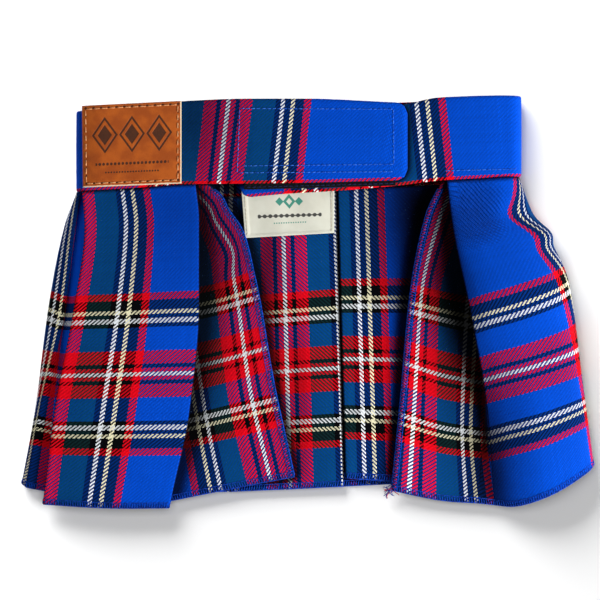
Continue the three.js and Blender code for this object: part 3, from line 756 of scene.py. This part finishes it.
def pad(name, kind, height, material, dent=None):
    # a flat piece with rounded rims; corners run left bottom, right bottom, right top, left top
    corners, thickness = np.array(kind["corners"], float), kind["thickness"]
    rounding, cell = kind["rounding"], kind["cell"]
    wide = np.linalg.norm(corners[1] - corners[0])
    tall = np.linalg.norm(corners[3] - corners[0])

    def cuts(length):
        rim = rounding * (1 - np.cos(np.linspace(0, math.pi / 2, 5)))
        inner = np.arange(rounding + cell, length - rounding - cell * 0.5, cell)
        return np.concatenate([rim, inner, length - rim[::-1]])

    def spot(u, v):
        a, b = u / wide, v / tall
        x, y = ((1 - a) * (1 - b) * corners[0] + a * (1 - b) * corners[1]
                + a * b * corners[2] + (1 - a) * b * corners[3])
        return x, y, height(x, y), dent(u, v) if dent else 0

    def place(u, v, lift=0.0):
        x, y, low, dip = spot(u, v)
        return np.array([x, y, low + thickness + lift - dip]) + shift

    us, vs = cuts(wide), cuts(tall)
    upper, lower, uvs = [], [], []
    for u in us:
        for v in vs:
            x, y, low, dip = spot(u, v)
            rims = [max(0.0, 1 - d / rounding) for d in (min(u, wide - u), min(v, tall - v))]
            drop = rounding * (1 - math.sqrt(max(0.0, 1 - min(1.0, rims[0] ** 2 + rims[1] ** 2))))
            upper.append((x, y, low + thickness - min(drop, thickness * 0.8) - dip))
            lower.append((x, y, low + min(drop, thickness * 0.1)))
            uvs.append((u, v))
    every, uvs = (np.array(upper + lower) + shift) * mm, np.array(uvs + uvs) * mm
    piece = newPiece(name, every, closedGrid(len(us), len(vs)), material, uvs, name)
    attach(piece, "root")

    return piece, wide, tall, place


def sew(name, place, lines, stitch):
    # threads along straight lines through the given corners, dipping in at their ends
    stitch = {"sink": 0.35, "lift": 0.16, **stitch}
    low, high, half = -stitch["sink"], stitch["lift"], stitch["length"] / 2
    rise = [(-1, low), (-0.82, high * 0.6), (-0.3, high), (0.3, high), (0.82, high * 0.6), (1, low)]
    paths = []
    runs = [np.array(run, float) for line in lines for run in zip(line[:-1], line[1:])]
    for start, stop in runs:
        count = max(1, int(round(np.linalg.norm(stop - start) / stitch["pitch"])))
        step = (stop - start) / count
        ahead = step / np.linalg.norm(step)
        for i in range(count):
            middle = start + step * (i + 0.5) + ahead * random.uniform(-0.08, 0.08)
            side = np.array([-ahead[1], ahead[0]]) * random.uniform(-0.09, 0.09)
            paths.append([place(*(middle + ahead * half * k + side * k), h) for k, h in rise])
    return threads(name, paths, stitch["radius"], threadCloth(stitch["name"], *stitch["colours"]))


leather = {
    "corners": [(-123.3, 62.4), (-69.3, 64.6), (-69.3, 109.8), (-123.8, 107.1)],
    "thickness": 1.25, "rounding": 0.55, "cell": 0.6, "inset": 2.0,
    "stitch": {"name": "patchThread", "pitch": 4.3, "length": 3.2, "radius": 0.3,
               "colours": [(236, 176, 124), (206, 134, 84)]},
    "tan": (190, 92, 18), "dark": (164, 74, 12), "raw": (228, 205, 172), "burnt": (44, 30, 22),
    "hole": (58, 26, 10),
}


def leatherFinish(wide, tall):
    shader = Shader("leather")
    u, v = shader.uv("leather_patch_hide")
    grain = shader.node("ShaderNodeTexVoronoi", {"feature": "DISTANCE_TO_EDGE"}, {
        "Vector": shader.place(), "Scale": 1500})
    grain = shader.between(grain, 0.0, 0.16)
    cloud = shader.cloudy(120, 4)
    dark = linear(leather["dark"])
    colour = shader.mix(shader.between(cloud, 0.36, 0.66), dark, linear(leather["tan"]))
    colour = shader.mix((1 - grain) * 0.22, colour, dark)
    # a burnt-in argyle of plain diamonds over two rows of dots
    x = u - wide / 2
    cell = abs((x / 7.4 + 1) % 2 - 1)  # 0 at each diamond's middle
    reach = cell + abs(v - tall * 0.62) / 10.5
    diamond = (shader.between(reach, 0.97, 0.93) - shader.between(reach, 0.8, 0.76)
               + shader.between(reach, 0.56, 0.5)) * (abs(x) < 22.2)
    dot = ((u / 2.1) % 1 - 0.5) ** 2 * 4.4 + (v - 12.2) ** 2 * 0.9
    dots = shader.between(dot, 0.66, 0.5) * (abs(x) < 20)
    dot = ((u / 1.5) % 1 - 0.5) ** 2 * 2.25 + (v - 7.6) ** 2
    small = shader.between(dot, 0.3, 0.2) * (abs(x) < 15)
    burnt = (diamond + dots + small).math("MINIMUM", 1.0)
    burnt = burnt * (0.86 + shader.cloudy(900, 2) * 0.14)
    colour = shader.mix(burnt * 0.94, colour, linear(leather["burnt"]))
    # needle holes along the sewing, and the raw edge
    inset, pitch = leather["inset"], leather["stitch"]["pitch"]

    def holes(along, off, length, across):
        sewn = length - 2 * inset
        step = sewn / round(sewn / pitch)
        near = abs((along - inset) / step % 1 - 0.5) * step  # half a step at a hole
        gap = (step / 2 - near) ** 2 * 0.8
        return [shader.between(gap + (off - side) ** 2 * 2.2, 0.8, 0.25)
                for side in (inset, across - inset)]

    punched = sum(holes(u, v, wide, tall) + holes(v, u, tall, wide)).math("MINIMUM", 1.0)
    colour = shader.mix(punched * 0.9, colour, linear(leather["hole"]))
    ragged = (shader.cloudy(500, 2) - 0.5) * 0.7
    raw = (u + ragged > wide - 0.75).math("MAXIMUM", v + ragged < 0.65)
    colour = shader.mix(raw, colour, linear(leather["raw"]))
    height = grain * 0.25 + cloud * 0.3 - burnt * 0.9 - punched * 1.2
    return shader.finish(colour, 0.5 + cloud * 0.22 + burnt * 0.15, height, 0.14, shine=0.25)


def buildPatch():
    wide, tall = 54.2, 45.2
    inset = leather["inset"]

    def height(x, y):
        bend = max(0.0, -112 - x)
        return 14.55 - 0.012 * bend * bend + 0.12 * math.sin(x * 0.09 + y * 0.04)

    def dent(u, v):
        off = min(abs(u - inset), abs(wide - inset - u), abs(v - inset), abs(tall - inset - v))
        return 0.12 * math.exp(-(off / 0.6) ** 2)

    material = leatherFinish(wide, tall)
    patch, wide, tall, place = pad("leather_patch_hide", leather, height, material, dent)
    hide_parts("leather_patch")
    right, top = wide - inset, tall - inset
    loop = [(inset, inset), (right, inset), (right, top), (inset, top), (inset, inset)]
    sewing = sew("patch_stitches", place, [loop], leather["stitch"])
    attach(sewing, "root")


ribbon = {
    "corners": [(-34.6, 34.9), (14.4, 37.6), (14.4, 63.4), (-36.7, 63.2)],
    "thickness": 0.55, "rounding": 0.22, "cell": 0.55, "hemWide": 2.8, "hemLow": 1.6, "hemRise": 0.22,
    "stitch": {"name": "labelThread", "pitch": 2.2, "length": 1.7, "radius": 0.16,
               "colours": [(226, 218, 196), (204, 194, 168)]},
    "cream": (226, 227, 212), "shade": (204, 202, 184), "ink": (24, 26, 28), "teal": (20, 140, 120),
}


def ribbonFinish(wide, tall):
    shader = Shader("wovenRibbon")
    u, v = shader.uv("label_ribbon")
    rib = abs((v / 0.42) % 1 - 0.5) * 2
    cross = abs((u / 0.36) % 1 - 0.5) * 2
    cloud = shader.cloudy(90, 3)
    # darker in random patches and towards each rib's edge
    cloudyAndRibbed = shader.between(cloud, 0.3, 0.75) * 0.5 + rib * 0.14
    colour = shader.mix(cloudyAndRibbed, linear(ribbon["cream"]), linear(ribbon["shade"]))
    # a plain row of lozenges over a ruled line and dots
    x, y, below = u - wide / 2, v - tall * 0.72, v - tall * 0.42
    aside, beyond = abs(x), abs(y)
    lozenge = shader.between(abs(aside - 5.2) / 2.3 + beyond / 2.6, 1.02, 0.9)
    reach = aside / 3.4 + beyond / 4.4
    middle = shader.between(reach, 1.02, 0.92) - shader.between(reach, 0.5, 0.42)
    ruled = shader.between(aside, 17.4, 17.0)
    line = shader.between(abs(below), 0.42, 0.26) * ruled
    bead = (abs(x / 3.0 % 1 - 0.5) * 3.0) ** 2 + below ** 2
    beads = shader.between(bead, 1.5, 0.9) * ruled
    rule = (shader.between(abs((x / 1.3) % 1 - 0.5) * 1.3, 0.42, 0.28)
            * shader.between(abs(v - tall * 0.27), 0.45, 0.3) * shader.between(aside, 9.2, 9.0))
    teal = (lozenge + middle + rule * 0.9).math("MINIMUM", 1.0) * 0.94
    ink = (line + beads).math("MINIMUM", 1.0) * 0.94
    colour = shader.mix(teal, colour, linear(ribbon["teal"]))
    colour = shader.mix(ink, colour, linear(ribbon["ink"]))
    height = rib * 0.6 + cross * 0.4 + cloud * 0.4
    return shader.finish(colour, 0.55 + cloud * 0.15, height, 0.06, sheen=0.15, shine=0.35)


def buildLabel():
    def height(x, y):
        across, hang = (x + 11) / 26, (63.4 - y) / 27
        sway = 0.9 * math.sin(across * 2.2 + 0.6) * hang + 0.35 * math.sin(across * 7 + y * 0.08)
        return 5.35 + hang * 1.1 + sway * 0.5

    def dent(u, v):
        # its ends and lower edge are folded under twice and sewn
        folded = u < ribbon["hemWide"] or u > 48 or v < ribbon["hemLow"]
        return -ribbon["hemRise"] if folded else 0

    material = ribbonFinish(50, 27.2)
    label, wide, tall, place = pad("label_ribbon", ribbon, height, material, dent)
    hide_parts("label")
    lines = [[(u, 1.0), (u, tall - 1)] for u in (1.5, wide - 1.5)]
    sewing = sew("label_stitches", place, lines, ribbon["stitch"])
    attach(sewing, "root")


tape = {
    "loop": {"corners": [(-35, 61.2), (48, 63.4), (48, 101), (-35, 98)],
             "height": 13.5, "thickness": 0.7, "rounding": 0.3, "cell": 1.0, "pile": 0.16},
    "hook": {"corners": [(-35, 66.2), (46, 67.4), (46, 101), (-35, 98)],
             "height": 14.45, "thickness": 0.6, "rounding": 0.3, "cell": 1.0},
    "stitch": {"name": "tapeThread", "pitch": 2.85, "length": 2.2, "radius": 0.17,
               "colours": [(26, 34, 74), (44, 56, 110)]},
    "black": (4, 5, 8), "grey": (20, 21, 25),
}


def tapeFinish(name, scale):
    shader = Shader(name)
    loops = shader.node("ShaderNodeTexVoronoi", None, {"Vector": shader.place(), "Scale": scale})
    cloud = shader.cloudy(700, 3)
    colour = shader.mix(shader.between(cloud, 0.3, 0.7), linear(tape["black"]), linear(tape["grey"]))
    return shader.finish(colour, 0.95, loops + cloud, 0.3, sheen=0.05, shine=0.1)


def buildTapes():
    def pile(u, v):
        return tape["loop"]["pile"] * noise.noise(Vector((u * 0.9, v * 0.9, 2.0)))

    loop, wide, tall, place = pad("loop_tape_pile", tape["loop"], lambda x, y: tape["loop"]["height"],
                                  tapeFinish("loopPile", 1100), pile)
    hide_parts("loop_tape")
    hook = pad("hook_tape_hooks", tape["hook"], lambda x, y: tape["hook"]["height"],
               tapeFinish("hookPile", 700))[0]
    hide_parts("hook_tape")
    sewing = sew("tape_stitches", place, [[(1, 1.3), (wide - 1, 1.3)]], tape["stitch"])
    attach(sewing, "root")


print("patch, label and tapes")
random.seed(7)
buildPatch()
buildLabel()
buildTapes()


def bandTop(x, y):
    # height of the band's outside over a place on its front
    above = Vector(((x + shift[0]) * mm, (y + shift[1]) * mm, 0.05))
    hit = bandTree.ray_cast(above, Vector((0, 0, -1)))[0]
    return hit.z / mm if hit else 14.0


bandStitches = {
    "name": "bandThread", "pitch": 2.85, "length": 2.25, "radius": 0.25, "sink": 0.3, "lift": 0.1,
    "colours": [(64, 128, 232), (14, 66, 170)],
    "lines": [
        [(-37.4, 105.6), (46.6, 105.2), (46.9, 75.0), (-36, 74.2)],
        [(-38, 70.4), (46.5, 71.0)],
        [(-37.4, 105.2), (-38.8, 70.6)],
        [(75, 71.6), (114.5, 72.6)],
    ],
}


def bandSewing():
    def place(x, y, lift=0.0):
        return np.array([x, y, bandTop(x, y) + lift]) + shift

    piece = sew("band_stitches", place, bandStitches["lines"], bandStitches)
    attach(piece, "root")


overlock = {
    "pitch": 1.35, "width": 2.9, "slant": 0.7, "radius": 0.24, "rope": 0.46, "needles": 0.22,
    "ropeStep": 1.15, "wobble": 0.13, "colours": [(6, 70, 190), (2, 34, 116)],
    # a loop's way over the edge: share of the width, side of the cloth, and lift off it
    "loop": [(1.0, 1, 0.02), (0.55, 1, 0.16), (0.1, 1, 0.14), (-0.1, 0, 0.0),
             (0.1, -1, 0.14), (0.55, -1, 0.16), (1.0, -1, 0.02)],
}


def overlocking():
    lines = [  # the edge, a line of points inside it, and the cloth's normals
        (stripMiddle[:, -1], stripMiddle[:, -4], stripNormal[:, -1]),
        (stripMiddle[0, 2:], stripMiddle[2, 2:], stripNormal[0, 2:]),
        (stripMiddle[-1, 2:], stripMiddle[-3, 2:], stripNormal[-1, 2:]),
    ]
    half = pleats["thickness"] / 2
    loops, ropes, needles = [], [], []
    for rim, inside, normal in lines:
        length = lengthAlong(rim)

        def at(table, places):
            return sampled(table, length, places)

        places = (np.arange(int(length[-1] / overlock["pitch"])) + 0.5) * overlock["pitch"]
        base, out = at(rim, places), unit(at(normal, places))
        inward = unit(at(inside, places) - base)
        along = unit(at(rim, places + 0.5) - at(rim, places - 0.5))
        for b, n, d, a in zip(base, out, inward, along):
            lean = overlock["slant"] * random.uniform(0.75, 1.2)
            wide = overlock["width"] * random.uniform(0.9, 1.06)
            loops.append([b + d * wide * s + n * (side * (half + lift)) + a * lean * (s - 0.5)
                          for s, side, lift in overlock["loop"]])
        fine = np.arange(0, length[-1], overlock["ropeStep"])
        wobble = np.array([overlock["wobble"] * (-1) ** k for k in range(len(fine))])[:, None]
        base, out = at(rim, fine), unit(at(normal, fine))
        ropes.append(base + out * wobble)
        # the two needle lines that hold the loops
        line = base + unit(at(inside, fine) - base) * overlock["width"] * 0.96
        needles += [line + out * (side * (half + 0.05) + wobble * 0.3) for side in (1, -1)]
    thread = threadCloth("overlockThread", *overlock["colours"])
    piece = threads("overlock_loops", loops, overlock["radius"], thread, sides=4)
    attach(piece, "root")
    rope = threads("overlock_edges", ropes, overlock["rope"], thread)
    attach(rope, "root")
    needles = threads("overlock_needles", needles, overlock["needles"], thread, sides=4)
    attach(needles, "root")


tail = {
    "threads": 16, "steps": 7, "step": 0.75, "radius": 0.2,
    "blue": [(20, 60, 160), (10, 36, 110)], "red": [(200, 20, 40), (150, 14, 34)],
}


def looseEnds():
    # the overlocking's thread tail at the right front's lower corner
    def stray(*spans):
        return np.array([random.uniform(low, high) for low, high in spans])

    paths = {"blue": [], "red": []}
    for i in range(tail["threads"]):
        path = [stripMiddle[-1, -1] + stray((-1.5, 1.2), (-0.5, 3.0), (-0.6, 0.6))]
        heading = random.uniform(2.6, 4.6)
        for k in range(tail["steps"]):
            heading += random.uniform(-0.7, 0.7)
            ahead = np.array([math.cos(heading), math.sin(heading), random.uniform(-0.35, 0.2)])
            path.append(path[-1] + ahead * tail["step"])
        paths["red" if i % 3 == 0 else "blue"].append(path)
    for name in ("blue", "red"):
        thread = threadCloth(name + "Tail", *tail[name])
        piece = threads("loose_ends_" + name, paths[name], tail["radius"], thread, sides=4)
        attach(piece, "root")


print("sewing")
random.seed(11)
bandTree = BVHTree.FromObject(waistband, bpy.context.evaluated_depsgraph_get())
bandSewing()
overlocking()
looseEnds()


setting = {
    "half": 1.5, "colour": (250, 250, 250), "shade": (244, 244, 245), "room": 0.12,
    "view": 3.0, "width": 0.330, "centre": (-0.00416, 0.00095), "sensor": 36,
    "lamps": [  # name, place, size, watts, whether it lights the floor or the skirt
        ("tableWindow", (-0.8, 1.5, 0.8), 1.25, 70, "INCLUDE"),
        ("tableFill", (0, 0, 2.2), 1.6, 24, "INCLUDE"),
        ("skirtWindow", (0.8, -0.33, 0.43), 0.55, 19.5, "EXCLUDE"),
        ("skirtFill", (-0.65, 0.1, 0.75), 0.9, 2.4, "EXCLUDE"),
    ],
}


def stage():
    shader = Shader("paleFloor")
    tone = shader.mix(shader.cloudy(3) * 0.3, linear(setting["colour"]), linear(setting["shade"]))
    half = setting["half"]
    corners = [(-half, -half, 0), (half, -half, 0), (half, half, 0), (-half, half, 0)]
    floor = newPiece("floor", corners, [(0, 1, 2, 3)], shader.finish(tone, 0.9), smooth=False)

    world = bpy.data.worlds.new("softRoom")
    world.use_nodes = True
    glow = world.node_tree.nodes["Background"]
    glow.inputs[0].default_value = (1, 1, 1, 1)
    glow.inputs[1].default_value = setting["room"]
    scene.world = world
    for name, place, size, power, state in setting["lamps"]:
        data = bpy.data.lights.new(name, "AREA")
        data.size, data.energy = size, power
        lamp = bpy.data.objects.new(name, data)
        lamp.location = place
        lamp.rotation_euler = (-Vector(place)).to_track_quat("-Z", "Y").to_euler()
        scene.collection.objects.link(lamp)
        receivers = bpy.data.collections.new(name + "Receivers")
        receivers.objects.link(floor)
        receivers.collection_objects[0].light_linking.link_state = state
        lamp.light_linking.receiver_collection = receivers

    data = bpy.data.cameras.new("camera")
    data.sensor_width = setting["sensor"]
    data.lens = setting["sensor"] * setting["view"] / setting["width"]
    data.clip_end = 20
    camera = bpy.data.objects.new("camera", data)
    camera.location = (*setting["centre"], setting["view"])
    scene.collection.objects.link(camera)
    bpy.context.scene.camera = camera
    scene.view_settings.view_transform = "Standard"


print("stage")
stage()
